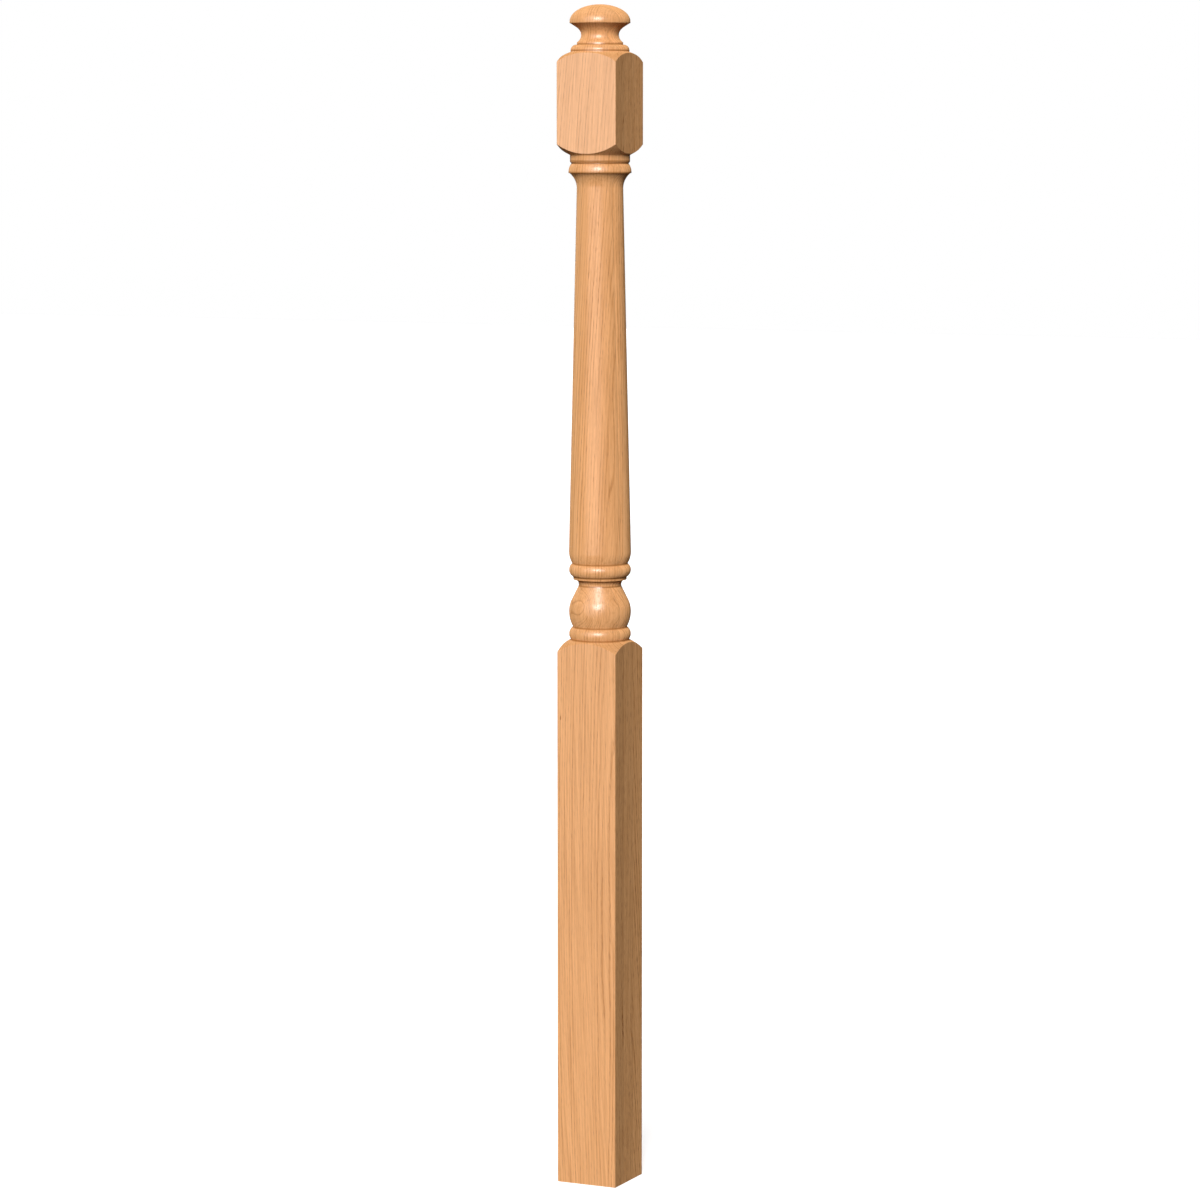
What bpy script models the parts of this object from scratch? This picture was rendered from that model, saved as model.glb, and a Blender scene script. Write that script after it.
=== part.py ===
"""A turned newel post: one square oak blank with a turned column between its two blocks and a
mushroom cap turned on its top. Metres, +Z up, origin at the middle of the underside."""

import math

import bmesh
import bpy
from mathutils import Matrix

# The square blank that the whole post is turned from
BLANK_WIDTH = 0.0762
ARRIS_BEVEL = 0.0010
ARRIS_SEGMENTS = 2

# Lower block, from the floor to where the turning cuts its corners off
LOWER_BLOCK_HEIGHT = 0.6382
LOWER_SHOULDER_HEIGHT = 0.0137
LOWER_SHOULDER_BULGE = 0.0009
LOWER_SHOULDER_GROOVE = 0.0341

# Bead on the lower block
LOWER_BEAD_HEIGHT = 0.0149
LOWER_BEAD_BULGE = 0.0035
LOWER_BEAD_GROOVE = 0.0318

# Vase: a rounded bowl, straight flanks and a small cove under the fillet
BOWL_HEIGHT = 0.0180
BOWL_BULGE = 0.0012
BOWL_RADIUS = 0.0366
VASE_SHOULDER_HEIGHT = 0.0130
VASE_SHOULDER_BULGE = 0.0007
VASE_SHOULDER_RADIUS = 0.0340
VASE_FLANK_HEIGHT = 0.0168
VASE_FLANK_RADIUS = 0.0257
VASE_NECK_HEIGHT = 0.0024
VASE_NECK_RADIUS = 0.0252
VASE_NECK_BULGE = 0.0001
VASE_COVE_HEIGHT = 0.0061
VASE_COVE_RADIUS = 0.0296
VASE_COVE_BULGE = 0.0013
FILLET_RADIUS = 0.0315
FILLET_HEIGHT = 0.0031

# Bead under the column
UPPER_BEAD_HEIGHT = 0.0159
UPPER_BEAD_BULGE = 0.0045
UPPER_BEAD_GROOVE = 0.0326

# Column: a rounded foot, a straight taper and a cove under the lip
FOOT_HEIGHT = 0.0138
FOOT_BULGE = 0.0010
FOOT_RADIUS = 0.0367
TAPER_HEIGHT = 0.4275
TAPER_RADIUS = 0.0272
COLUMN_COVE_HEIGHT = 0.0176
COLUMN_COVE_RADIUS = 0.0357
COLUMN_COVE_BULGE = 0.0022
LIP_RADIUS = 0.0369
LIP_FACE_HEIGHT = 0.0015
LIP_OVOLO_HEIGHT = 0.0100
LIP_OVOLO_BULGE = 0.0009
LIP_GROOVE = 0.0333

# Neck band between the lip and the upper block
NECK_ROUND_HEIGHT = 0.0028
NECK_ROUND_BULGE = 0.0005
NECK_RADIUS = 0.0352
NECK_BAND_HEIGHT = 0.0067

# Upper block, between two shoulders
BLOCK_FOOT_HEIGHT = 0.0128
BLOCK_FOOT_BULGE = 0.0008
UPPER_BLOCK_HEIGHT = 0.0945
BLOCK_TOP_HEIGHT = 0.0124
BLOCK_TOP_BULGE = 0.0015

# Cushion and small fillet on the upper block
CUSHION_RADIUS = 0.0344
CUSHION_FACE_HEIGHT = 0.0014
CUSHION_HEIGHT = 0.0069
CUSHION_BULGE = 0.0018
CUSHION_TOP_RADIUS = 0.0285
CAP_FILLET_RADIUS = 0.0270
CAP_FILLET_HEIGHT = 0.0028

# Mushroom cap: a waisted stem that spreads to a rim, with a dome on it
STEM_COVE_HEIGHT = 0.0086
STEM_COVE_BULGE = 0.0013
STEM_RADIUS = 0.02205
UNDERSIDE_HEIGHT = 0.0135
UNDERSIDE_BEND = 0.0062
UNDERSIDE_RADIUS = 0.0348
RIM_RADIUS = 0.0355
RIM_HEIGHT = 0.0018
DOME_HEIGHT = 0.0201
DOME_FULLNESS = 2.1

# How far the rough turning stands clear of the blank, where the lathe leaves the wood square
CLEARANCE = 0.0100

# Resolution of the turning
TURN_STEPS = 48
ARC_STEP = math.radians(13)
FLARE_STEPS = 6
DOME_STEPS = 9
MERGE_DISTANCE = 0.00001
SHARP_ANGLE = math.radians(25)

OAK_COLOR = (0.62, 0.37, 0.17, 1.0)
OAK_ROUGHNESS = 0.35


class Outline:
    """The side of a turning, drawn upward as points of (radius, height)."""

    def __init__(self, radius, height):
        self.points = [(radius, height)]

    @property
    def height(self):
        return self.points[-1][1]

    def line(self, rise, radius):
        self.points.append((radius, self.height + rise))

    def arc(self, rise, radius, bulge):
        """A circular arc that stands bulge proud of its chord, or below it where bulge is negative."""
        start_radius, start_height = self.points[-1]
        run = radius - start_radius
        chord = math.hypot(run, rise)
        half_angle = 2 * math.atan(2 * bulge / chord)
        steps = math.ceil(2 * abs(half_angle) / ARC_STEP)
        for step in range(1, steps + 1):
            angle = half_angle * (2 * step / steps - 1)
            along = 0.5 + math.sin(angle) / math.sin(half_angle) / 2
            proud = (math.cos(angle) - math.cos(half_angle)) / math.sin(half_angle) / 2
            self.points.append(
                (
                    start_radius + along * run + proud * rise,
                    start_height + along * rise - proud * run,
                )
            )

    def flare(self, rise, radius, bend):
        """A curve that leaves upright, turns at the height of bend and runs out to the radius."""
        start_radius, start_height = self.points[-1]
        for step in range(1, FLARE_STEPS + 1):
            t = step / FLARE_STEPS
            spread = t * t
            climb = 2 * t * (1 - t) * bend + t * t * rise
            self.points.append(
                (start_radius + spread * (radius - start_radius), start_height + climb)
            )

    def dome(self, rise, fullness):
        """A dome that closes on the axis; a fullness of 2 is an ellipse, and more is squarer."""
        start_radius, start_height = self.points[-1]
        for step in range(1, DOME_STEPS):
            angle = math.pi / 2 * step / DOME_STEPS
            radius = start_radius * math.cos(angle) ** (2 / fullness)
            height = rise * math.sin(angle) ** (2 / fullness)
            self.points.append((radius, start_height + height))
        self.points.append((0.0, start_height + rise))


def newel_outline():
    """The whole turning, from below the floor up to the top of the dome."""
    corner_radius = BLANK_WIDTH / math.sqrt(2)
    rough_radius = corner_radius + CLEARANCE
    side = Outline(0, -CLEARANCE)

    side.line(0, rough_radius)
    side.line(CLEARANCE + LOWER_BLOCK_HEIGHT, rough_radius)
    side.line(0, corner_radius)
    side.arc(LOWER_SHOULDER_HEIGHT, LOWER_SHOULDER_GROOVE, LOWER_SHOULDER_BULGE)
    side.arc(LOWER_BEAD_HEIGHT, LOWER_BEAD_GROOVE, LOWER_BEAD_BULGE)

    side.arc(BOWL_HEIGHT, BOWL_RADIUS, BOWL_BULGE)
    side.arc(VASE_SHOULDER_HEIGHT, VASE_SHOULDER_RADIUS, VASE_SHOULDER_BULGE)
    side.line(VASE_FLANK_HEIGHT, VASE_FLANK_RADIUS)
    side.arc(VASE_NECK_HEIGHT, VASE_NECK_RADIUS, -VASE_NECK_BULGE)
    side.arc(VASE_COVE_HEIGHT, VASE_COVE_RADIUS, -VASE_COVE_BULGE)
    side.line(0, FILLET_RADIUS)
    side.line(FILLET_HEIGHT, FILLET_RADIUS)
    side.arc(UPPER_BEAD_HEIGHT, UPPER_BEAD_GROOVE, UPPER_BEAD_BULGE)

    side.arc(FOOT_HEIGHT, FOOT_RADIUS, FOOT_BULGE)
    side.line(TAPER_HEIGHT, TAPER_RADIUS)
    side.arc(COLUMN_COVE_HEIGHT, COLUMN_COVE_RADIUS, -COLUMN_COVE_BULGE)
    side.line(0, LIP_RADIUS)
    side.line(LIP_FACE_HEIGHT, LIP_RADIUS)
    side.arc(LIP_OVOLO_HEIGHT, LIP_GROOVE, LIP_OVOLO_BULGE)
    side.arc(NECK_ROUND_HEIGHT, NECK_RADIUS, NECK_ROUND_BULGE)
    side.line(NECK_BAND_HEIGHT, NECK_RADIUS)

    side.arc(BLOCK_FOOT_HEIGHT, corner_radius, BLOCK_FOOT_BULGE)
    side.line(0, rough_radius)
    side.line(UPPER_BLOCK_HEIGHT, rough_radius)
    side.line(0, corner_radius)
    side.arc(BLOCK_TOP_HEIGHT, CUSHION_RADIUS, BLOCK_TOP_BULGE)
    side.line(CUSHION_FACE_HEIGHT, CUSHION_RADIUS)
    side.arc(CUSHION_HEIGHT, CUSHION_TOP_RADIUS, CUSHION_BULGE)
    side.line(0, CAP_FILLET_RADIUS)
    side.line(CAP_FILLET_HEIGHT, CAP_FILLET_RADIUS)

    side.arc(STEM_COVE_HEIGHT, STEM_RADIUS, -STEM_COVE_BULGE)
    side.flare(UNDERSIDE_HEIGHT, UNDERSIDE_RADIUS, UNDERSIDE_BEND)
    side.line(0, RIM_RADIUS)
    side.line(RIM_HEIGHT, RIM_RADIUS)
    side.dome(DOME_HEIGHT, DOME_FULLNESS)
    return side.points


def new_collection(name, parent):
    collection = bpy.data.collections.new(name)
    parent.children.link(collection)
    return collection


def add_turning(name, outline, collection):
    """The round cutter: the outline, from its top down, spun about Z by a Screw modifier."""
    mesh = bpy.data.meshes.new(name)
    vertices = [(radius, 0.0, height) for radius, height in reversed(outline)]
    edges = [(index, index + 1) for index in range(len(vertices) - 1)]
    mesh.from_pydata(vertices, edges, [])
    turning = bpy.data.objects.new(name, mesh)
    collection.objects.link(turning)

    screw = turning.modifiers.new("Lathe", "SCREW")
    screw.axis = "Z"
    screw.angle = math.tau
    screw.steps = TURN_STEPS
    screw.render_steps = TURN_STEPS
    screw.use_merge_vertices = True
    screw.merge_threshold = MERGE_DISTANCE
    turning.hide_render = True
    turning.display_type = "WIRE"
    return turning


def add_blank(name, top, collection):
    """The square blank from the floor to the given height, with its four long arrises eased."""
    bm = bmesh.new()
    bmesh.ops.create_cube(bm, size=1.0, matrix=Matrix.Translation((0, 0, 0.5)))
    bmesh.ops.scale(bm, vec=(BLANK_WIDTH, BLANK_WIDTH, top), verts=bm.verts)
    arrises = [
        edge
        for edge in bm.edges
        if abs(edge.verts[0].co.z - edge.verts[1].co.z) > top / 2
    ]
    bmesh.ops.bevel(
        bm,
        geom=arrises,
        offset=ARRIS_BEVEL,
        segments=ARRIS_SEGMENTS,
        profile=0.5,
        affect="EDGES",
    )
    mesh = bpy.data.meshes.new(name)
    bm.to_mesh(mesh)
    bm.free()
    blank = bpy.data.objects.new(name, mesh)
    collection.objects.link(blank)
    return blank


def keep_inside(blank, turning):
    """Leaves only the wood that lies inside the turning, and shades its round faces smooth."""
    cut = blank.modifiers.new("Turned shape", "BOOLEAN")
    cut.operation = "INTERSECT"
    cut.solver = "EXACT"
    cut.object = turning
    graph = bpy.context.evaluated_depsgraph_get()
    turned = bpy.data.meshes.new_from_object(blank.evaluated_get(graph))
    blank.modifiers.remove(cut)
    square = blank.data
    blank.data = turned
    bpy.data.meshes.remove(square)
    turned.name = blank.name
    turned.shade_smooth()
    turned.set_sharp_from_angle(angle=SHARP_ANGLE)


def oak():
    material = bpy.data.materials.new("Lacquered oak")
    material.use_nodes = True
    shader = material.node_tree.nodes["Principled BSDF"]
    shader.inputs["Base Color"].default_value = OAK_COLOR
    shader.inputs["Roughness"].default_value = OAK_ROUGHNESS
    shader.inputs["Metallic"].default_value = 0.0
    return material


def build():
    for obj in list(bpy.data.objects):
        bpy.data.objects.remove(obj, do_unlink=True)

    scene_root = bpy.context.scene.collection
    parts = new_collection("Newel post", scene_root)
    cutters = new_collection("Cutters", scene_root)

    outline = newel_outline()
    top = outline[-1][1]
    turning = add_turning("turning", outline, cutters)
    post = add_blank("newel_post", top + CLEARANCE, parts)
    keep_inside(post, turning)
    post.data.materials.clear()
    post.data.materials.append(oak())
    print(f"{post.name}: {top:.4f} m high, {len(post.data.polygons)} faces")


build()
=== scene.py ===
# %% [markdown]
# # A turned newel post
# A newel post stands where a stair's handrail ends and takes the rail's pull. This one is a single
# length of red oak: square where the rail and the stair's framing meet it, round everywhere else.
#
# The imported model comes in first. It fixes where the post stands and how big it is.

import math

import bmesh
import bpy
from mathutils import Matrix, Vector


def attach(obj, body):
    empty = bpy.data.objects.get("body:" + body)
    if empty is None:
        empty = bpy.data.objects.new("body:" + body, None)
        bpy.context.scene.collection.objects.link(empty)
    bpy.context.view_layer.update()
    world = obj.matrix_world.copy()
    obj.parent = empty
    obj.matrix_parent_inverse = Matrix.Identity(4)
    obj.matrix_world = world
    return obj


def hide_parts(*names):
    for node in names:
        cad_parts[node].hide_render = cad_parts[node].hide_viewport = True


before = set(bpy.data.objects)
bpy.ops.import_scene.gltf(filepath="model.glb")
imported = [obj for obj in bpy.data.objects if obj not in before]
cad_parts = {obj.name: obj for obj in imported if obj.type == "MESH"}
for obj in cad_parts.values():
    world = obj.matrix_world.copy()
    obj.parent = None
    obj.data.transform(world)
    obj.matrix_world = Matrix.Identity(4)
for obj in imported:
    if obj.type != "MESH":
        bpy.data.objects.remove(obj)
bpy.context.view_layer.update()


# %% [markdown]
# ## The camera
# The post is about eighteen times as tall as it is wide, so it is photographed from far off with a
# long lens. The camera stands a little below the height of the cap and looks slightly down: the cap
# is seen level, and the foot from above. Turning it 25 degrees round the post shows a wide front and
# a narrow right side. A shifted lens would keep the long sides exactly parallel, but it would push the
# post out of the frame in any other view, so this camera only tilts.

# %% Camera
CAMERA_TURN = math.radians(25.38)
CAMERA_DISTANCE = 5.0
CAMERA_HEIGHT = 1.25
CAMERA_TILT = math.radians(6.298)
CAMERA_LENS_MM = 127.5
SENSOR_MM = 36.0
CAMERA_SEES_TO = 100.0


def place_camera():
    data = bpy.data.cameras.new("Camera")
    data.lens = CAMERA_LENS_MM
    data.sensor_width = SENSOR_MM
    data.sensor_fit = "HORIZONTAL"
    data.clip_end = CAMERA_SEES_TO
    camera = bpy.data.objects.new("Camera", data)
    camera.location = (
        CAMERA_DISTANCE * math.sin(CAMERA_TURN),
        -CAMERA_DISTANCE * math.cos(CAMERA_TURN),
        CAMERA_HEIGHT,
    )
    camera.rotation_euler = (math.pi / 2 - CAMERA_TILT, 0, CAMERA_TURN)
    bpy.context.scene.collection.objects.link(camera)
    bpy.context.scene.camera = camera
    return camera


camera = place_camera()
print("camera at", tuple(round(value, 3) for value in camera.location))


# %% [markdown]
# ## Drawing the side of the turning
# A turner works from a drawing of one side of the post: beads, coves and straights, one above
# another. Here a pencil draws that side upward. A straight is a point pushed out into an edge, and an
# arc is a point spun round the arc's own centre. An arc is told how far it bulges from its chord,
# because that can be read off a real moulding with a straightedge: outward is a bead, inward a cove.

# %% A pencil for mouldings
ARC_STEP = math.radians(5)
FEWEST_ARC_STEPS = 2


class Pencil:
    """Draws the side of a turning upward, as edges in the plane Y = 0."""

    def __init__(self, radius, height):
        self.bm = bmesh.new()
        self.tip = self.bm.verts.new((radius, 0.0, height))

    def line(self, rise, radius):
        """A straight to the given radius, this much higher."""
        end = Vector((radius, 0.0, self.tip.co.z + rise))
        pushed = bmesh.ops.extrude_vert_indiv(self.bm, verts=[self.tip])
        self.tip = pushed["verts"][0]
        self.tip.co = end

    def band(self, rise, radius):
        """A level step in or out to the given radius, and an upright from there."""
        self.line(0.0, radius)
        self.line(rise, radius)

    def arc(self, rise, radius, bulge):
        """An arc to the given radius, this much higher, which bulges outward where bulge is positive."""
        start = self.tip.co.copy()
        chord = Vector((radius - start.x, 0.0, rise))
        outward = Vector((rise, 0.0, start.x - radius)) / chord.length
        half_turn = 2 * math.atan(2 * bulge / chord.length)
        to_centre = chord.length / 2 / math.tan(half_turn)
        centre = start + chord / 2 - outward * to_centre
        steps = max(FEWEST_ARC_STEPS, math.ceil(2 * abs(half_turn) / ARC_STEP))
        spun = bmesh.ops.spin(
            self.bm,
            geom=[self.tip],
            cent=centre,
            axis=(0, -1, 0),
            angle=2 * half_turn,
            steps=steps,
        )
        self.tip = next(part for part in spun["geom_last"] if isinstance(part, bmesh.types.BMVert))
        self.tip.co = start + chord

    def dome(self, rise):
        """A quarter circle from here up to the axis, flattened into an ellipse of this rise."""
        start = self.tip.co.copy()
        before = set(self.bm.verts)
        steps = math.ceil(math.pi / 2 / ARC_STEP)
        spun = bmesh.ops.spin(
            self.bm,
            geom=[self.tip],
            cent=(0, 0, start.z),
            axis=(0, -1, 0),
            angle=math.pi / 2,
            steps=steps,
        )
        self.tip = next(part for part in spun["geom_last"] if isinstance(part, bmesh.types.BMVert))
        drawn = [vert for vert in self.bm.verts if vert not in before]
        floor_level = Matrix.Translation((0, 0, -start.z))
        bmesh.ops.scale(self.bm, vec=(1, 1, rise / start.x), space=floor_level, verts=drawn)
        self.tip.co = (0, 0, start.z + rise)


print("an arc turns", round(math.degrees(ARC_STEP), 1), "degrees a step")


# %% [markdown]
# ## The sizes of the post
# Every size below is a real one, in metres. A moulding is written down as how far it rises, the
# radius that it reaches and, for an arc, how far it bulges. Where the wood stays square, the drawing
# runs outside the square's corners, so nothing is turned away.

# %% Sizes of the blank
BLANK_WIDTH = 0.0762
CORNER_RADIUS = BLANK_WIDTH / math.sqrt(2)
CLEARANCE = 0.010
ROUGH_RADIUS = CORNER_RADIUS + CLEARANCE
LOWER_BLOCK = 0.6382
UPPER_BLOCK = 0.0945
POST_HEIGHT = 1.3968

print("the post is", round(1000 * BLANK_WIDTH, 1), "mm square and", round(1000 * POST_HEIGHT, 1), "mm tall")


# %% [markdown]
# ### Bead, vase and bead
# On the shoulder of the lower block sits a bead, and on that a vase that swells and then narrows to a
# cove. A small upright band, called a fillet, and a second bead lead on to the column.

# %% Lower turning
LOWER_SHOULDER = {"rise": 0.0137, "radius": 0.0341, "bulge": 0.0009}
LOWER_BEAD = {"rise": 0.0149, "radius": 0.0318, "bulge": 0.0035}
BOWL = {"rise": 0.0180, "radius": 0.0366, "bulge": 0.0012}
VASE_SHOULDER = {"rise": 0.0130, "radius": 0.0340, "bulge": 0.0007}
VASE_FLANK = {"rise": 0.0168, "radius": 0.0257}
VASE_NECK = {"rise": 0.0024, "radius": 0.0252, "bulge": -0.0001}
VASE_COVE = {"rise": 0.0061, "radius": 0.0296, "bulge": -0.0013}
FILLET = {"rise": 0.0031, "radius": 0.0315}
UPPER_BEAD = {"rise": 0.0159, "radius": 0.0326, "bulge": 0.0045}


def draw_lower_turning(pencil):
    """The bead, vase, fillet and bead between the lower block and the column."""
    pencil.arc(**LOWER_SHOULDER)
    pencil.arc(**LOWER_BEAD)
    pencil.arc(**BOWL)
    pencil.arc(**VASE_SHOULDER)
    pencil.line(**VASE_FLANK)
    pencil.arc(**VASE_NECK)
    pencil.arc(**VASE_COVE)
    pencil.band(**FILLET)
    pencil.arc(**UPPER_BEAD)


print("the vase swells to", round(2000 * BOWL["radius"], 1), "mm")


# %% [markdown]
# ### The column
# The column starts with a rounded foot and tapers upward. At its top a cove sweeps out to a lip, and a
# short neck band leads on to the upper block.

# %% Column
COLUMN_FOOT = {"rise": 0.0138, "radius": 0.0367, "bulge": 0.0010}
COLUMN_TAPER = {"rise": 0.4275, "radius": 0.0272}
COLUMN_COVE = {"rise": 0.0176, "radius": 0.0357, "bulge": -0.0022}
LIP = {"rise": 0.0015, "radius": 0.0369}
LIP_ROUND = {"rise": 0.0100, "radius": 0.0333, "bulge": 0.0009}
NECK_ROUND = {"rise": 0.0028, "radius": 0.0352, "bulge": 0.0005}
NECK_BAND = {"rise": 0.0067, "radius": 0.0352}


def draw_column(pencil):
    """The column's rounded foot, its taper, the cove and lip on it and the neck band."""
    pencil.arc(**COLUMN_FOOT)
    pencil.line(**COLUMN_TAPER)
    pencil.arc(**COLUMN_COVE)
    pencil.band(**LIP)
    pencil.arc(**LIP_ROUND)
    pencil.arc(**NECK_ROUND)
    pencil.line(**NECK_BAND)


print("the column tapers to", round(2000 * COLUMN_TAPER["radius"], 1), "mm")


# %% [markdown]
# ### The cap
# The upper block ends in a thin cushion and a fillet. A waisted stem rises from there and flares into
# the underside of the mushroom. The dome on top takes up what is left of the post's height.

# %% Cap
CUSHION_FACE = {"rise": 0.0014, "radius": 0.0344}
CUSHION = {"rise": 0.0069, "radius": 0.0285, "bulge": 0.0018}
CAP_FILLET = {"rise": 0.0028, "radius": 0.0270}
STEM_COVE = {"rise": 0.0086, "radius": 0.02205, "bulge": -0.0013}
STEM_FLARE = {"rise": 0.0056, "radius": 0.02409, "bulge": -0.0005}
UNDERSIDE = {"rise": 0.0041, "radius": 0.0288, "bulge": -0.0003}
UNDERSIDE_EDGE = {"rise": 0.0038, "radius": 0.0348}
RIM = {"rise": 0.0021, "radius": 0.0355}


def draw_cap(pencil):
    """The cushion on the upper block, the waisted stem and the mushroom."""
    pencil.line(**CUSHION_FACE)
    pencil.arc(**CUSHION)
    pencil.band(**CAP_FILLET)
    pencil.arc(**STEM_COVE)
    pencil.arc(**STEM_FLARE)
    pencil.arc(**UNDERSIDE)
    pencil.line(**UNDERSIDE_EDGE)
    pencil.band(**RIM)
    pencil.dome(POST_HEIGHT - pencil.tip.co.z)


print("the cap is", round(2000 * RIM["radius"], 1), "mm across")


# %% [markdown]
# ### The whole side
# Now the parts are drawn in order, from the foot up. At each square block the drawing steps out past
# the corners, and the shoulders above and below start or end at the corners themselves.

# %% Draw the side
BLOCK_FOOT = {"rise": 0.0128, "radius": CORNER_RADIUS, "bulge": 0.0008}
BLOCK_TOP = {"rise": 0.0124, "radius": CUSHION_FACE["radius"], "bulge": 0.0015}


def draw_post():
    """The whole side of the post, from the axis below the floor to the axis on top of the dome."""
    pencil = Pencil(0.0, -CLEARANCE)
    pencil.band(CLEARANCE + LOWER_BLOCK, ROUGH_RADIUS)
    pencil.line(0.0, CORNER_RADIUS)
    draw_lower_turning(pencil)
    draw_column(pencil)
    pencil.arc(**BLOCK_FOOT)
    pencil.band(UPPER_BLOCK, ROUGH_RADIUS)
    pencil.line(0.0, CORNER_RADIUS)
    pencil.arc(**BLOCK_TOP)
    draw_cap(pencil)
    return pencil.bm


post = draw_post()
print("the drawn side has", len(post.verts), "points")


# %% [markdown]
# ## On the lathe
# Spinning the drawn side once round the axis makes the whole turning. The points on the axis land on
# top of each other and are merged, which closes the poles. A real turned edge is never a knife edge,
# because sanding and lacquer soften it, so every sharp ring gets a rounded bevel of about a third of a
# millimetre.

# %% Spin the side
TURN_STEPS = 192
MERGE_DISTANCE = 0.000002
SOFT_RING = 0.00035
SOFT_RING_SEGMENTS = 2
ROUND_PROFILE = 0.5
SHARP_RING_ANGLE = math.radians(24)


def spin_round(bm):
    bmesh.ops.spin(
        bm,
        geom=bm.verts[:] + bm.edges[:],
        cent=(0, 0, 0),
        axis=(0, 0, 1),
        angle=math.tau,
        steps=TURN_STEPS,
        use_merge=True,
    )
    bmesh.ops.remove_doubles(bm, verts=bm.verts, dist=MERGE_DISTANCE)
    bmesh.ops.recalc_face_normals(bm, faces=bm.faces)


def soften_rings(bm):
    """Bevels the sharp rings that stay on the finished post, and not those in the rough."""
    rings = []
    for edge in bm.edges:
        low, high = edge.verts
        on_the_turning = math.hypot(low.co.x, low.co.y) < BLANK_WIDTH / 2
        level = abs(low.co.z - high.co.z) < MERGE_DISTANCE
        if on_the_turning and level and edge.calc_face_angle(0.0) > SHARP_RING_ANGLE:
            rings.append(edge)
    bmesh.ops.bevel(
        bm,
        geom=rings,
        offset=SOFT_RING,
        segments=SOFT_RING_SEGMENTS,
        profile=ROUND_PROFILE,
        affect="EDGES",
        material=-1,
        clamp_overlap=True,
    )
    return len(rings) // TURN_STEPS


spin_round(post)
softened = soften_rings(post)
print("turned", len(post.faces), "faces and softened", softened, "rings")


# %% [markdown]
# ## The square blocks
# On the real post the square comes first and the lathe cuts into it. Cutting with planes gives the
# same shape the other way round: each plane shaves the spun shape flat and the cut is filled. Four
# planes make the sides, and a few more between them round each long edge a little. The curved tops
# of the block faces come by themselves, where flat meets turned, as they do on a real lathe.

# %% Cut the sides, the long edges and the foot
EDGE_RADIUS = 0.0010
EDGE_PLANES = 5


def shave(bm, distance, direction):
    """Cuts off all that lies past a plane and closes the cut."""
    cut = bmesh.ops.bisect_plane(
        bm,
        geom=bm.verts[:] + bm.edges[:] + bm.faces[:],
        dist=MERGE_DISTANCE / 2,
        plane_co=direction * distance,
        plane_no=direction,
        clear_outer=True,
    )
    rim = [part for part in cut["geom_cut"] if isinstance(part, bmesh.types.BMEdge)]
    filled = bmesh.ops.holes_fill(bm, edges=rim, sides=0)
    return len(filled["faces"])


def cut_square(bm):
    core = BLANK_WIDTH / 2 - EDGE_RADIUS
    cuts = 0
    for quarter in range(4):
        for step in range(EDGE_PLANES):
            turn = math.radians(90 * step / EDGE_PLANES)
            distance = core * (math.cos(turn) + math.sin(turn)) + EDGE_RADIUS
            angle = turn + quarter * math.pi / 2
            direction = Vector((math.cos(angle), math.sin(angle), 0.0))
            cuts += shave(bm, distance, direction)
    cuts += shave(bm, 0.0, Vector((0, 0, -1)))
    bmesh.ops.remove_doubles(bm, verts=bm.verts, dist=MERGE_DISTANCE)
    return cuts


cuts = cut_square(post)
open_edges = sum(1 for edge in post.edges if not edge.is_manifold)
print("closed", cuts, "cuts;", open_edges, "open edges")


# %% [markdown]
# ## Smooth and sharp
# The turned faces and the eased edges are shaded smooth. The flat sides and the foot stay flat, or
# the soft edges round them would bend the light across the whole side, and so do true corners.

# %% Make the object
SHARP_SHADE = math.radians(32)
FLAT_WITHIN = 0.00001


def shade(bm):
    flats = 0
    for face in bm.faces:
        middle = face.calc_center_median()
        on_side = max(abs(middle.x), abs(middle.y)) > BLANK_WIDTH / 2 - FLAT_WITHIN
        on_foot = middle.z < FLAT_WITHIN
        face.smooth = not (on_side or on_foot)
        flats += not face.smooth
    for edge in bm.edges:
        edge.smooth = edge.calc_face_angle(0.0) < SHARP_SHADE
    return flats


def finish_post(bm):
    mesh = bpy.data.meshes.new("turned_post")
    bm.to_mesh(mesh)
    bm.free()
    turned = bpy.data.objects.new("turned_post", mesh)
    bpy.context.scene.collection.objects.link(turned)
    return turned


print("flat faces:", shade(post))
turned_post = finish_post(post)
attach(turned_post, "root")
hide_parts("newel_post")
triangles = sum(len(face.vertices) - 2 for face in turned_post.data.polygons)
print("turned_post:", triangles, "triangles")


# %% [markdown]
# ## Red oak
# Oak is a solid pattern, and the lathe only uncovers it. So the grain is worked out in space, not
# wrapped on the surface: growth rings are nested tubes round the tree's heart, long pores and rays run
# up the trunk, and whatever the turning cuts through shows arches, ovals or straight lines in the
# right places, with end grain on the dome. An image wrapped round the post could not do that.
#
# The blank is three boards glued face to face and cut from different places in their trees, so each
# board has a heart of its own, and two thin glue lines run up the left and the right side.

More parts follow.
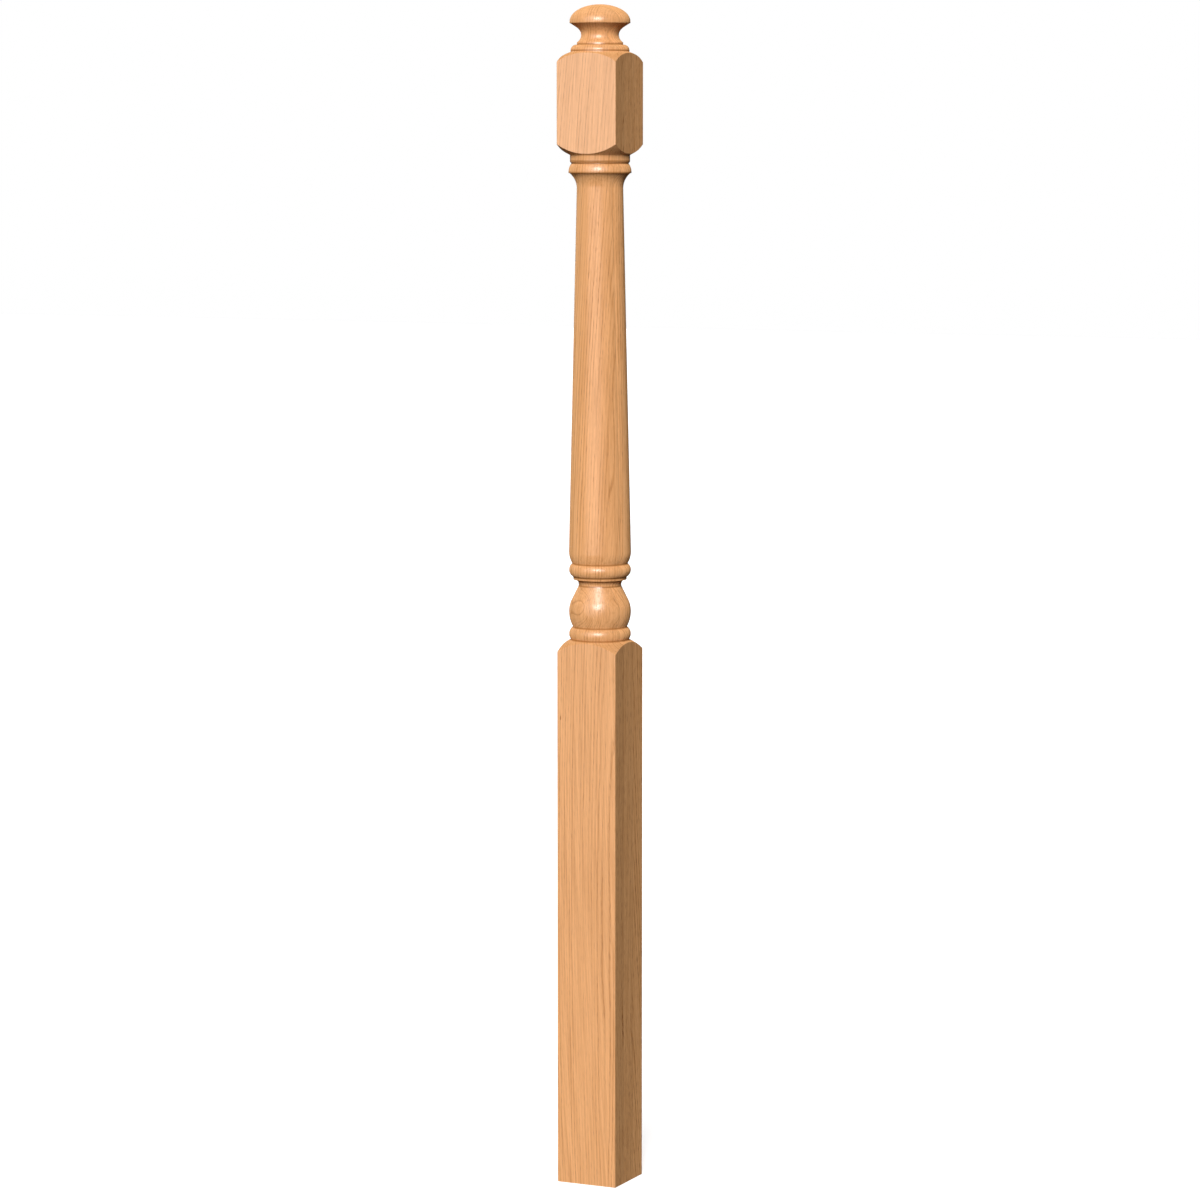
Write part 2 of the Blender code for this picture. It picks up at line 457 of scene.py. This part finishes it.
# %% A helper for shader nodes
class Recipe:
    """Adds nodes to one material, with a value or another node's output for each input."""

    def __init__(self, material):
        material.use_nodes = True
        self.nodes = material.node_tree.nodes
        self.links = material.node_tree.links

    def feed(self, socket, value):
        if isinstance(value, bpy.types.NodeSocket):
            self.links.new(value, socket)
        else:
            socket.default_value = value

    def math(self, operation, *values):
        node = self.nodes.new("ShaderNodeMath")
        node.operation = operation
        for socket, value in zip(node.inputs, values):
            self.feed(socket, value)
        return node.outputs[0]

    def point(self, x, y, z):
        node = self.nodes.new("ShaderNodeCombineXYZ")
        for socket, value in zip(node.inputs, (x, y, z)):
            self.feed(socket, value)
        return node.outputs[0]

    def noise(self, place, scale, detail=2.0, roughness=0.5):
        node = self.nodes.new("ShaderNodeTexNoise")
        self.feed(node.inputs["Vector"], place)
        node.inputs["Scale"].default_value = scale
        node.inputs["Detail"].default_value = detail
        node.inputs["Roughness"].default_value = roughness
        return node.outputs["Fac"]

    def cells(self, place, scale):
        """How far a point is from the middle of its cell, for dots and dashes."""
        node = self.nodes.new("ShaderNodeTexVoronoi")
        self.feed(node.inputs["Vector"], place)
        node.inputs["Scale"].default_value = scale
        return node.outputs["Distance"]

    def spread(self, value, low, high, new_low=0.0, new_high=1.0):
        """Eases from new_low to new_high as value goes from low to high."""
        node = self.nodes.new("ShaderNodeMapRange")
        node.interpolation_type = "SMOOTHSTEP"
        for socket, given in zip(node.inputs, (value, low, high, new_low, new_high)):
            self.feed(socket, given)
        return node.outputs[0]

    def tint(self, amount, low, high):
        node = self.nodes.new("ShaderNodeMix")
        node.data_type = "RGBA"
        self.feed(node.inputs["Factor"], amount)
        self.feed(node.inputs["A"], low)
        self.feed(node.inputs["B"], high)
        return node.outputs["Result"]

    def brighten(self, colour, amount):
        node = self.nodes.new("ShaderNodeVectorMath")
        node.operation = "SCALE"
        self.feed(node.inputs[0], colour)
        self.feed(node.inputs["Scale"], amount)
        return node.outputs[0]


print("ready to mix materials")


# %% [markdown]
# ### Boards and rings
# For each board: where the heart of its tree lies near the foot of the column, towards X and Y from
# the post's axis, and how far it leans per metre of height. The trunk was also bowed a little and grew
# thinner towards its top. All of that makes arches: rings that are not quite upright leave the wood
# one after another as the eye goes up. Rings also bulge round small swellings in the trunk, short or
# drawn out along it, and where a surface cuts through a bulge, they come out as ovals.

# %% Boards and rings
GLUE_LINES = (-0.0152, 0.0112)
HEART = {"front": (0.034, -0.016), "middle": (-0.020, 0.085), "back": (-0.034, -0.030)}
LEAN = {"front": (0.000, -0.002), "middle": (0.020, -0.010), "back": (0.030, -0.012)}
PIVOT_HEIGHT = 0.80
BOW = 0.05
TAPER = 0.045
RING_WIDTH = 0.0033
WANDER = 0.0035
WANDER_SCALE = 40.0
WANDER_DETAIL = 2.5
WANDER_SQUEEZE = 0.16
NOISE_MIDDLE = 0.5
SWELLINGS = (
    {"middle": (-0.004, -0.037, 0.694), "reach": 0.030, "length": 1.2, "rings": 5.6},
    {"middle": (0.032, -0.018, 0.686), "reach": 0.014, "length": 1.5, "rings": 3.0},
    {"middle": (0.028, -0.019, 0.850), "reach": 0.012, "length": 10.0, "rings": 2.2},
    {"middle": (0.032, -0.038, 0.200), "reach": 0.020, "length": 18.0, "rings": 2.0},
)


def by_board(recipe, boards, front, middle, back):
    """The value of the board that a point is in."""
    past_first, past_second = boards
    first = recipe.math("MULTIPLY_ADD", past_first, middle - front, front)
    return recipe.math("MULTIPLY_ADD", past_second, back - middle, first)


def from_heart(recipe, boards, above, place, side):
    """How far a point is from the heart of its own tree, towards X for side 0 and Y for side 1."""
    heart = by_board(recipe, boards, *(heart[side] for heart in HEART.values()))
    lean = by_board(recipe, boards, *(lean[side] for lean in LEAN.values()))
    return recipe.math("SUBTRACT", place, recipe.math("MULTIPLY_ADD", above, lean, heart))


def distance_from(recipe, centre, x, y, z, length=1.0):
    """How far a point is from a centre, or from an upright dash this many times longer than wide."""
    steps = [recipe.math("SUBTRACT", place, middle) for place, middle in zip((x, y, z), centre)]
    steps[2] = recipe.math("DIVIDE", steps[2], length)
    squares = [recipe.math("POWER", step, 2.0) for step in steps]
    return recipe.math("SQRT", recipe.math("ADD", squares[0], recipe.math("ADD", squares[1], squares[2])))


def growth_rings(recipe, boards, x, y, z):
    """Where a point lies in its own tree: towards X and Y, straight out, and counted in rings."""
    above = recipe.math("SUBTRACT", z, PIVOT_HEIGHT)
    bowed = recipe.math("MULTIPLY", recipe.math("POWER", above, 2.0), BOW)
    across = recipe.math("SUBTRACT", from_heart(recipe, boards, above, x, 0), bowed)
    deep = from_heart(recipe, boards, above, y, 1)
    squares = recipe.math("ADD", recipe.math("POWER", across, 2.0), recipe.math("POWER", deep, 2.0))
    reach = recipe.math("SQRT", squares)

    squeezed = recipe.point(x, y, recipe.math("MULTIPLY", z, WANDER_SQUEEZE))
    uneven = recipe.noise(squeezed, WANDER_SCALE, detail=WANDER_DETAIL)
    wander = recipe.math("MULTIPLY", recipe.math("SUBTRACT", uneven, NOISE_MIDDLE), WANDER)
    taper = recipe.math("MULTIPLY", above, TAPER)
    grown = recipe.math("ADD", reach, recipe.math("ADD", wander, taper))
    rings = recipe.math("DIVIDE", grown, RING_WIDTH)
    for swelling in SWELLINGS:
        away = distance_from(recipe, swelling["middle"], x, y, z, swelling["length"])
        swollen = recipe.spread(away, swelling["reach"], 0.0)
        rings = recipe.math("MULTIPLY_ADD", swollen, swelling["rings"], rings)
    return across, deep, reach, rings


print("rings are", round(1000 * RING_WIDTH, 1), "mm wide")


# %% [markdown]
# ### Pores and rays
# Spring wood is full of wide pores, so each ring starts with a dark band of fine dashes and goes on
# in smooth paler wood, which darkens a little again before the next ring. Rays run out from the heart
# across the rings and show as thin dashes on the front. A Voronoi texture makes both: its cells are
# dots, and where the height is squeezed, each dot becomes a dash.

# %% Pores and rays
PORE_LENGTH = 15.0
PORE_SCALE = 1200.0
PORE_EDGE = (0.42, 0.22)
SUMMER_PORES = 0.20
SPRING_PORES_MORE = 0.75
RAY_RADIUS = 0.075
RAY_SQUEEZE = 0.10
RAY_LENGTH = 22.0
RAY_SCALE = 900.0
RAY_EDGE = (0.20, 0.06)


def stretched(recipe, x, y, z, length):
    """A point with its height squeezed, so that a pattern comes out this many times longer than wide."""
    return recipe.point(x, y, recipe.math("DIVIDE", z, length))


def oak_pores(recipe, across, deep, z, spring):
    """Fine dashes, dark in spring wood and faint elsewhere: nearly 1 in a dark pore, 0 outside."""
    dots = recipe.cells(stretched(recipe, across, deep, z, PORE_LENGTH), PORE_SCALE)
    dashes = recipe.spread(dots, *PORE_EDGE)
    darkness = recipe.math("MULTIPLY_ADD", spring, SPRING_PORES_MORE, SUMMER_PORES)
    return recipe.math("MULTIPLY", dashes, darkness)


def oak_rays(recipe, across, deep, reach, z):
    """Rays are thin upright sheets that run out from the heart: 1 in a ray and 0 outside."""
    around = recipe.math("MULTIPLY", recipe.math("ARCTAN2", deep, across), RAY_RADIUS)
    along = recipe.math("MULTIPLY", reach, RAY_SQUEEZE)
    dashes = recipe.cells(stretched(recipe, around, along, z, RAY_LENGTH), RAY_SCALE)
    return recipe.spread(dashes, *RAY_EDGE)


print("pores are drawn out", round(PORE_LENGTH), "times and rays", round(RAY_LENGTH), "times")


# %% [markdown]
# ### Stain, painted shade and small marks
# Stain gathers in the grooves between the beads, and painted shade is laid into the same grooves, so each
# of them shows a darker line of both. The shoulders of the blocks are made a little darker as well, and the
# flat sides not at all. Two small marks in the wood stay as they are.

# %% Where the stain and the painted shade gather
# Heights of the grooves that get stain and painted shade.
GROOVE_HEIGHTS = (0.6519, 0.6668, 0.7158, 0.7225, 0.7262, 0.7421, 1.2018, 1.2125, 1.2150, 1.3431, 1.3505)
GROOVE_WIDTH = 0.0030
SHOULDER_HEIGHTS = (0.6450, 1.3350)
SHOULDER_WIDTH = 0.0180
SHOULDER_DARKENING = 0.35
FLAT_DEPTH = 0.0003
MARKS = ((-0.0336, -0.0381, 0.5600), (0.0381, 0.0084, 0.1760))
MARK_SIZE = 0.0009
MARK_LENGTH = 4.0


def near_any(recipe, place, levels, near):
    """1 at each of the levels and within a quarter of this nearness, fading to 0 at the whole of it."""
    found = 0.0
    for level in levels:
        gap = recipe.math("ABSOLUTE", recipe.math("SUBTRACT", place, level))
        found = recipe.math("MAXIMUM", found, recipe.spread(gap, near, near / 4))
    return found


def on_side(recipe, place):
    """1 on the pair of flat sides that this coordinate runs through."""
    return recipe.math("GREATER_THAN", recipe.math("ABSOLUTE", place), BLANK_WIDTH / 2 - FLAT_DEPTH)


def groove_and_shoulder_darkening(recipe, x, y, z):
    """1 in the turned grooves, where stain and painted shade go, less on the shoulders and 0 on the beads
    and the flat sides.
    """
    # Painted shade: the grooves are darkened as if shade fell in them, along with the stain there. The
    # shoulders are only made a little darker.
    grooves = near_any(recipe, z, GROOVE_HEIGHTS, GROOVE_WIDTH / 2)
    shoulders = near_any(recipe, z, SHOULDER_HEIGHTS, SHOULDER_WIDTH / 2)
    shoulders = recipe.math("MULTIPLY", shoulders, SHOULDER_DARKENING)
    flat = recipe.math("MAXIMUM", on_side(recipe, x), on_side(recipe, y))
    turned = recipe.math("SUBTRACT", 1.0, flat)
    return recipe.math("MULTIPLY", turned, recipe.math("MAXIMUM", grooves, shoulders))


print("stain in", len(GROOVE_HEIGHTS), "grooves, and", len(MARKS), "marks")


# %% [markdown]
# ### Spring, summer and streaks
# The weather of each year makes its band of spring wood strong or weak. Long soft streaks and slow
# drifts of colour run along the trunk, and they are what the eye sees from across a room.

# %% Bands and streaks
SPRING_RISE = (0.0, 0.12)
SPRING_FADE = (0.52, 0.16)
SUMMER_RISE = (0.55, 0.98)
WEATHER = {"scale": 0.6, "detail": 1.0}
WEATHER_UPWARD = 3.0
WEATHER_RANGE = (0.36, 0.62)
POOREST_SPRING = 0.20
STREAKS = {"length": 60.0, "scale": 560.0, "roughness": 0.6}
DRIFT = {"length": 30.0, "scale": 130.0, "roughness": 0.55}
STREAK_DETAIL = 2.0


def spring_and_summer(recipe, rings, z):
    """How far a point is in the spring wood of its ring, and how far in the summer wood."""
    phase = recipe.math("FRACT", rings)
    rise = recipe.spread(phase, *SPRING_RISE)
    spring = recipe.math("MULTIPLY", rise, recipe.spread(phase, *SPRING_FADE))
    years = recipe.point(rings, 0.0, recipe.math("MULTIPLY", z, WEATHER_UPWARD))
    weather = recipe.spread(recipe.noise(years, **WEATHER), *WEATHER_RANGE, POOREST_SPRING, 1.0)
    return recipe.math("MULTIPLY", spring, weather), recipe.spread(phase, *SUMMER_RISE)


def long_pattern(recipe, across, deep, z, length, scale, roughness):
    """Soft noise, drawn out along the trunk."""
    place = stretched(recipe, across, deep, z, length)
    return recipe.noise(place, scale, detail=STREAK_DETAIL, roughness=roughness)


print("streaks are drawn out", round(STREAKS["length"]), "times")


# %% [markdown]
# ### The colour of the wood
# A single number from light to deep oak gathers the streaks, the drifts and the rings. The boards
# are not quite the same colour: the front one is the darkest, and that shows on the left and right
# sides across the glue lines.
#
# Some of the colour stands in for light. The lights alone don't part the faces as strongly as they
# are parted on the real post. So the left and right sides are given a darker tone and darker pores,
# everything above the lower block is made a little paler, and the front of the upper block the palest.

# %% Oak
OAK_LIGHT = (0.800, 0.430, 0.188, 1.0)
OAK_DEEP = (0.560, 0.260, 0.092, 1.0)
OAK_PORE = (0.300, 0.120, 0.040, 1.0)
# The pale colour of a painted sheen, used on the front of the upper block.
OAK_PAINTED_SHEEN = (0.900, 0.680, 0.520, 1.0)
OAK_GLUE = (0.360, 0.180, 0.080, 1.0)
# The colour of the marks, of the stain in the grooves and of the painted shade laid there with it.
OAK_STAIN_AND_SHADE = (0.360, 0.130, 0.024, 1.0)
DEPTH = {"plain": 0.20, "streaks": 1.6, "drift": 0.7, "spring": 0.70, "summer": 0.10, "rays": 0.30}
PORE_DARKNESS = 0.60
SIDE_PORES_PAINTED_SHADE = 0.70
BOARD_BRIGHTNESS = (1.0, 1.12, 1.20)
SIDE_PAINTED_SHADE = 0.74
UPPER_PAINTED_LIGHT = 1.07
PALER_HEIGHTS = (0.62, 0.80)
UPPER_FRONT_PAINTED_SHEEN = 0.15
GLUE_WIDTH = 0.0010
GLUE_DARKNESS = 0.45
GROOVE_AND_SHOULDER_DARKNESS = 0.70
STREAK_HOLLOWS = 0.5


def oak_depth(recipe, streaks, drift, spring, summer):
    """How deep the oak's colour is: 0 for light and 1 for deep."""
    depth = DEPTH["plain"]
    for noise, share in ((streaks, DEPTH["streaks"]), (drift, DEPTH["drift"])):
        difference = recipe.math("SUBTRACT", noise, NOISE_MIDDLE)
        depth = recipe.math("MULTIPLY_ADD", difference, share, depth)
    depth = recipe.math("MULTIPLY_ADD", spring, DEPTH["spring"], depth)
    return recipe.math("MULTIPLY_ADD", summer, DEPTH["summer"], depth)


def oak_brightness(recipe, boards, side, z):
    """How bright the wood is by its board, with painted shade on the left and right sides and painted light
    above the lower block.
    """
    # Painted shade: the left and right sides are darkened.
    side_painted_shade = recipe.math("MULTIPLY_ADD", side, SIDE_PAINTED_SHADE - 1.0, 1.0)
    # Painted light: the wood above the lower block is made brighter.
    height_painted_light = recipe.spread(z, *PALER_HEIGHTS, 1.0, UPPER_PAINTED_LIGHT)
    brightness = recipe.math("MULTIPLY", by_board(recipe, boards, *BOARD_BRIGHTNESS), side_painted_shade)
    return recipe.math("MULTIPLY", brightness, height_painted_light)


def oak_grain(recipe):
    """The colour of the oak at each point, and how far the wood is from smooth there."""
    split = recipe.nodes.new("ShaderNodeSeparateXYZ")
    recipe.feed(split.inputs[0], recipe.nodes.new("ShaderNodeTexCoord").outputs["Object"])
    x, y, z = split.outputs
    boards = [recipe.math("GREATER_THAN", y, glue_line) for glue_line in GLUE_LINES]
    across, deep, reach, rings = growth_rings(recipe, boards, x, y, z)
    spring, summer = spring_and_summer(recipe, rings, z)
    pores = oak_pores(recipe, across, deep, z, spring)
    rays = oak_rays(recipe, across, deep, reach, z)
    streaks = long_pattern(recipe, across, deep, z, **STREAKS)
    drift = long_pattern(recipe, across, deep, z, **DRIFT)

    colour = recipe.tint(oak_depth(recipe, streaks, drift, spring, summer), OAK_LIGHT, OAK_DEEP)
    colour = recipe.tint(recipe.math("MULTIPLY", rays, DEPTH["rays"]), colour, OAK_DEEP)
    side = on_side(recipe, x)
    # Painted shade: the pores on the left and right sides are darker.
    pore_darkness = recipe.math("MULTIPLY_ADD", side, SIDE_PORES_PAINTED_SHADE, PORE_DARKNESS)
    colour = recipe.tint(recipe.math("MULTIPLY", pores, pore_darkness), colour, OAK_PORE)
    colour = recipe.brighten(colour, oak_brightness(recipe, boards, side, z))
    # Painted sheen: the front of the upper block is mixed towards a paler shade, as lacquer shining there
    # would look.
    front_face = recipe.math("LESS_THAN", y, FLAT_DEPTH - BLANK_WIDTH / 2)
    painted_sheen = recipe.spread(z, *PALER_HEIGHTS, 0.0, UPPER_FRONT_PAINTED_SHEEN)
    colour = recipe.tint(recipe.math("MULTIPLY", front_face, painted_sheen), colour, OAK_PAINTED_SHEEN)

    glue = near_any(recipe, y, GLUE_LINES, GLUE_WIDTH / 2)
    colour = recipe.tint(recipe.math("MULTIPLY", glue, GLUE_DARKNESS), colour, OAK_GLUE)
    stain_and_shade = groove_and_shoulder_darkening(recipe, x, y, z)
    # Painted shade with stain in the grooves, and a darker tone on the shoulders.
    colour = recipe.tint(recipe.math("MULTIPLY", stain_and_shade, GROOVE_AND_SHOULDER_DARKNESS), colour, OAK_STAIN_AND_SHADE)
    for mark in MARKS:
        away = distance_from(recipe, mark, x, y, z, length=MARK_LENGTH)
        spot = recipe.spread(away, MARK_SIZE, MARK_SIZE / 2)
        colour = recipe.tint(spot, colour, OAK_STAIN_AND_SHADE)
    return colour, recipe.math("MULTIPLY_ADD", streaks, STREAK_HOLLOWS, pores)


print("oak for", len(BOARD_BRIGHTNESS), "boards")


# %% [markdown]
# ### Lacquer
# A clear coat lies over the wood: the soft white shine on the beads and the vase is all its own, and
# the wood under it is set to have none. Wood also scatters light back the way it came, which keeps
# the column even across its front and dark only at the edge, so the diffuse part is set rough. The
# shine is made to fade at a low angle, more than a real lacquer's does, because the strong lights
# would otherwise burn the rims out to white.

# %% Lacquered oak
WOOD_ROUGHNESS = 0.55
WOOD_DIFFUSE_ROUGHNESS = 0.5
WOOD_SHINE = 0.0
COAT_ROUGHNESS = 0.28
LOW_ANGLE_FROM = 0.35
LOW_ANGLE_TO = 0.65
LOW_ANGLE_SHINE = 0.10
RELIEF_STRENGTH = 0.6
RELIEF_DEPTH = 0.00025


def lacquered_oak():
    material = bpy.data.materials.new("Lacquered red oak")
    recipe = Recipe(material)
    shader = recipe.nodes["Principled BSDF"]
    colour, hollows = oak_grain(recipe)
    recipe.feed(shader.inputs["Base Color"], colour)
    shader.inputs["Roughness"].default_value = WOOD_ROUGHNESS
    shader.inputs["Diffuse Roughness"].default_value = WOOD_DIFFUSE_ROUGHNESS
    shader.inputs["Specular IOR Level"].default_value = WOOD_SHINE
    shader.inputs["Coat Roughness"].default_value = COAT_ROUGHNESS

    low_angle = recipe.nodes.new("ShaderNodeLayerWeight").outputs["Facing"]
    shine = recipe.spread(low_angle, LOW_ANGLE_FROM, LOW_ANGLE_TO, 1.0, LOW_ANGLE_SHINE)
    recipe.feed(shader.inputs["Coat Weight"], shine)

    bump = recipe.nodes.new("ShaderNodeBump")
    bump.inputs["Strength"].default_value = RELIEF_STRENGTH
    bump.inputs["Distance"].default_value = RELIEF_DEPTH
    recipe.feed(bump.inputs["Height"], recipe.math("SUBTRACT", 1.0, hollows))
    recipe.feed(shader.inputs["Normal"], bump.outputs["Normal"])
    recipe.feed(shader.inputs["Coat Normal"], bump.outputs["Normal"])
    return material


turned_post.data.materials.append(lacquered_oak())
print("oak has", len(turned_post.data.materials[0].node_tree.nodes), "nodes")


# %% [markdown]
# ## Floor and light
# A tall thin post shows its turning best under one broad soft light, here from a little left of the
# camera and above it, in a dim surround that keeps the right side dark. Very large, very distant
# lights keep the brightness even from cap to foot. A soft light from overhead fills the top of the
# dome, and one from behind, without shine, is there for anyone who walks round the post. A pale panel
# in front and the pale backdrop are seen only in the lacquer's shine. The floor is plain and pale and
# throws nothing back on the post.

# %% Floor and light
KEY = {"strength": 3.65, "size": 28, "turn": 9, "rise": 27}
PANEL = {"strength": 2.9, "size": 76, "turn": 26, "rise": 22}
OVERHEAD = {"strength": 0.4, "size": 70, "turn": 0, "rise": 88}
BEHIND = {"strength": 2.3, "size": 50, "turn": 160, "rise": 15}
BACKDROP = {"strength": 0.35, "size": 40, "turn": 150, "rise": 5}
ROOM_COLOUR = (0.040, 0.037, 0.034, 1.0)
BACKDROP_COLOUR = (1.0, 1.0, 1.0, 1.0)
FLOOR_SIZE = 40.0
FLOOR_COLOUR = (0.93, 0.93, 0.93, 1.0)
FLOOR_ROUGHNESS = 0.9
FLOOR_SHINE = 0.1
FLOOR_GLOW_COLOUR = (1.0, 1.0, 1.0, 1.0)
FLOOR_GLOW = 0.50


def soft_light(name, strength, size, turn, rise):
    """A distant broad light. Angles are in degrees, and turn is leftward from the camera's side."""
    data = bpy.data.lights.new(name, "SUN")
    data.energy = strength
    data.angle = math.radians(size)
    light = bpy.data.objects.new(name, data)
    light.rotation_euler = (math.radians(90 - rise), 0, CAMERA_TURN - math.radians(turn))
    bpy.context.scene.collection.objects.link(light)
    return light


def light_room():
    """A dim even surround for the post, in front of a backdrop that the camera sees as white."""
    world = bpy.data.worlds.new("Studio")
    world.use_nodes = True
    nodes = world.node_tree.nodes
    links = world.node_tree.links
    room = nodes["Background"]
    room.inputs["Color"].default_value = ROOM_COLOUR
    backdrop = nodes.new("ShaderNodeBackground")
    backdrop.inputs["Color"].default_value = BACKDROP_COLOUR
    path = nodes.new("ShaderNodeLightPath")
    choose = nodes.new("ShaderNodeMixShader")
    links.new(path.outputs["Is Camera Ray"], choose.inputs["Fac"])
    links.new(room.outputs[0], choose.inputs[1])
    links.new(backdrop.outputs[0], choose.inputs[2])
    links.new(choose.outputs[0], nodes["World Output"].inputs["Surface"])
    bpy.context.scene.world = world


def lay_floor():
    bm = bmesh.new()
    bmesh.ops.create_grid(bm, x_segments=1, y_segments=1, size=FLOOR_SIZE / 2)
    mesh = bpy.data.meshes.new("floor")
    bm.to_mesh(mesh)
    bm.free()
    floor = bpy.data.objects.new("floor", mesh)
    bpy.context.scene.collection.objects.link(floor)
    floor.visible_diffuse = False
    floor.visible_glossy = False

    material = bpy.data.materials.new("Pale floor")
    material.use_nodes = True
    shader = material.node_tree.nodes["Principled BSDF"]
    shader.inputs["Base Color"].default_value = FLOOR_COLOUR
    shader.inputs["Roughness"].default_value = FLOOR_ROUGHNESS
    shader.inputs["Specular IOR Level"].default_value = FLOOR_SHINE
    shader.inputs["Emission Color"].default_value = FLOOR_GLOW_COLOUR
    shader.inputs["Emission Strength"].default_value = FLOOR_GLOW
    mesh.materials.append(material)


soft_light("key", **KEY)
soft_light("overhead", **OVERHEAD)
behind = soft_light("behind", **BEHIND)
behind.visible_glossy = False
panel = soft_light("panel", **PANEL)
backdrop = soft_light("backdrop", **BACKDROP)
for seen_in_shine in (panel, backdrop):
    seen_in_shine.visible_diffuse = False
light_room()
lay_floor()
bpy.context.scene.view_settings.view_transform = "Standard"
print("lit by", len(bpy.data.lights), "lights and a dim room")
